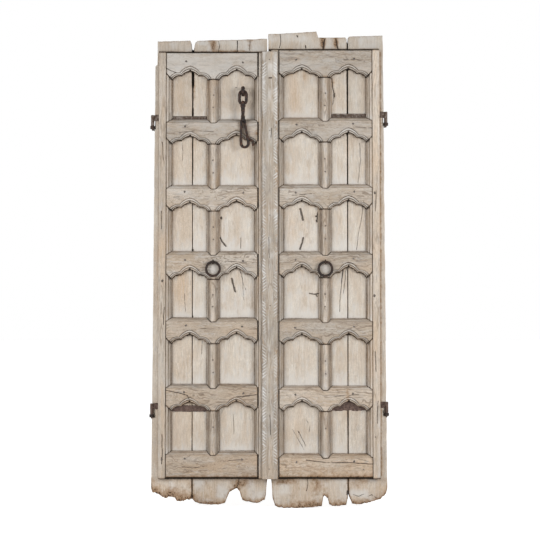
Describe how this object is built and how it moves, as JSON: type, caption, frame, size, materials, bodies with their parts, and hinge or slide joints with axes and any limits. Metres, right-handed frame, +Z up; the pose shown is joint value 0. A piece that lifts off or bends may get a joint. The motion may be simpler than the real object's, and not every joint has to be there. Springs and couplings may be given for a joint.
{
  "type": "antique double door",
  "caption": "Old bleached plank double door with cusped arched rails, carved cover strip, pin hinges, ring pulls and a chain hasp.",
  "frame": {"origin": "on the line of the planks' feet, midway between the two hinge axes, in the plane of the planks' front faces", "axes": "+Z up, the door's front faces -Y, +X to the right seen from the front"},
  "size_m": [1.075, 0.1495, 2.147],
  "materials": {
    "plank_wood": "bleached bare wood, worn smooth",
    "framing_wood": "bleached weathered wood with open grain",
    "carved_wood": "bleached carved wood with white residue in the cuts",
    "strap_iron": "rusty wrought iron",
    "chain_iron": "dark hand-forged iron"
  },
  "bodies": {
    "hinge_eyes": {"left_upper_hinge_eye": "strap_iron", "left_lower_hinge_eye": "strap_iron", "right_upper_hinge_eye": "strap_iron", "right_lower_hinge_eye": "strap_iron"},
    "left_leaf": {"left_outer_plank": "plank_wood", "left_inner_plank": "plank_wood", "left_hinge_stile": "framing_wood", "left_meeting_stile": "framing_wood", "left_upper_strap": "strap_iron", "left_lower_strap": "strap_iron", "left_ring_staple": "chain_iron", "left_rail_1": "framing_wood", "left_rail_2": "framing_wood", "left_rail_3": "framing_wood", "left_rail_4": "framing_wood", "left_rail_5": "framing_wood", "left_rail_6": "framing_wood", "left_rail_7": "framing_wood", "left_muntin_1": "framing_wood", "left_muntin_2": "framing_wood", "left_muntin_3": "framing_wood", "left_muntin_4": "framing_wood", "left_muntin_5": "framing_wood", "left_muntin_6": "framing_wood", "astragal": "carved_wood", "chain_staple": "chain_iron"},
    "right_leaf": {"right_outer_plank": "plank_wood", "right_inner_plank": "plank_wood", "right_hinge_stile": "framing_wood", "right_meeting_stile": "framing_wood", "right_upper_strap": "strap_iron", "right_lower_strap": "strap_iron", "right_ring_staple": "chain_iron", "right_rail_1": "framing_wood", "right_rail_2": "framing_wood", "right_rail_3": "framing_wood", "right_rail_4": "framing_wood", "right_rail_5": "framing_wood", "right_rail_6": "framing_wood", "right_rail_7": "framing_wood", "right_muntin_1": "framing_wood", "right_muntin_2": "framing_wood", "right_muntin_3": "framing_wood", "right_muntin_4": "framing_wood", "right_muntin_5": "framing_wood", "right_muntin_6": "framing_wood"},
    "left_ring": {"left_pull_ring": "chain_iron"},
    "right_ring": {"right_pull_ring": "chain_iron"},
    "chain_link": {"chain_link": "chain_iron"},
    "chain_bar": {"chain_bar": "chain_iron"},
    "chain_loop": {"chain_loop": "chain_iron"}
  },
  "joints": [
    {"name": "left_leaf_swing", "type": "hinge", "parent": "hinge_eyes", "child": "left_leaf", "pos_m": [-0.5265, 0.003, 0], "axis": [0, 0, -1], "range_deg": [0, 105]},
    {"name": "right_leaf_swing", "type": "hinge", "parent": "hinge_eyes", "child": "right_leaf", "pos_m": [0.5265, 0.003, 0], "axis": [0, 0, 1], "range_deg": [0, 105]},
    {"name": "left_ring_swing", "type": "hinge", "parent": "left_leaf", "child": "left_ring", "pos_m": [-0.2515, -0.0393, 1.101], "axis": [-1, 0, 0], "range_deg": [0, 120]},
    {"name": "right_ring_swing", "type": "hinge", "parent": "right_leaf", "child": "right_ring", "pos_m": [0.2515, -0.0393, 1.101], "axis": [-1, 0, 0], "range_deg": [0, 120]},
    {"name": "chain_link_swing", "type": "hinge", "parent": "left_leaf", "child": "chain_link", "pos_m": [-0.118, -0.036, 1.87], "axis": [-1, 0, 0], "range_deg": [0, 90]},
    {"name": "chain_bar_swing", "type": "hinge", "parent": "chain_link", "child": "chain_bar", "pos_m": [-0.118, -0.036, 1.818], "axis": [-1, 0, 0], "range_deg": [0, 60]},
    {"name": "chain_loop_swing", "type": "hinge", "parent": "chain_bar", "child": "chain_loop", "pos_m": [-0.118, -0.036, 1.742], "axis": [-1, 0, 0], "range_deg": [0, 60]}
  ],
  "couplings": [
    {"joint": "right_leaf_swing", "follows": "left_leaf_swing", "ratio": 1}
  ]
}
